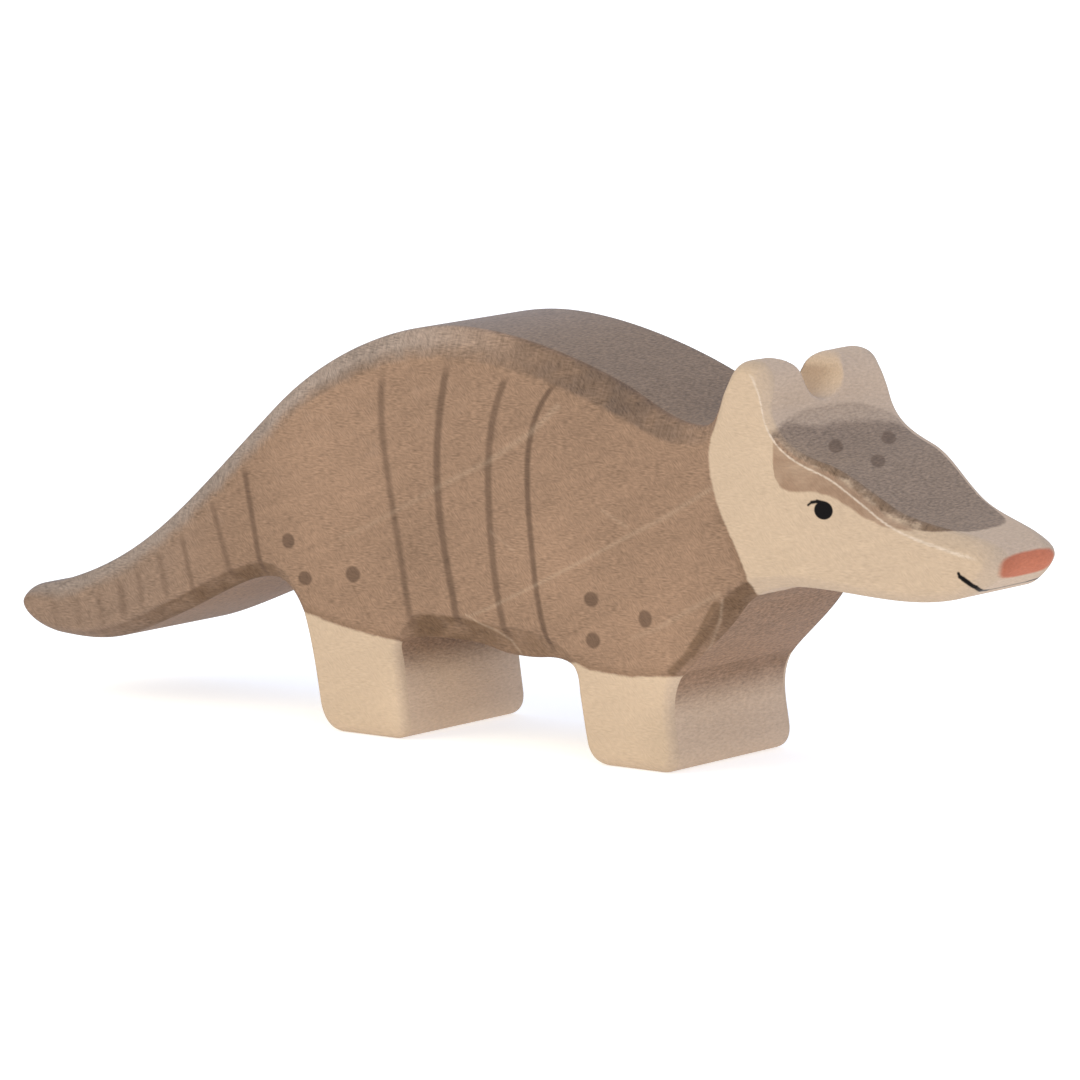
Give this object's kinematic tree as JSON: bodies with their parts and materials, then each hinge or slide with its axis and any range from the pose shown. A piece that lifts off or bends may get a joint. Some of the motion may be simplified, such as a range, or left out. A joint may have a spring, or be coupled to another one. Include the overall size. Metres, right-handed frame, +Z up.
{
  "type": "painted wooden toy armadillo",
  "caption": "Flat-sided armadillo figure sawn from one board of pale hardwood, stained brown with painted bands and dots, standing on its legs.",
  "frame": {"origin": "middle of the bounding box on the floor plane, under the body", "axes": "+X towards the nose, +Y to the animal's left, through the thickness of the board, +Z up"},
  "size_m": [0.161, 0.028, 0.0573],
  "materials": {
    "painted_wood": "sanded satin hardwood with thin brown stain on the body and bare cream wood on head and legs"
  },
  "bodies": {
    "root": {"armadillo_board": "painted_wood"}
  },
  "joints": []
}
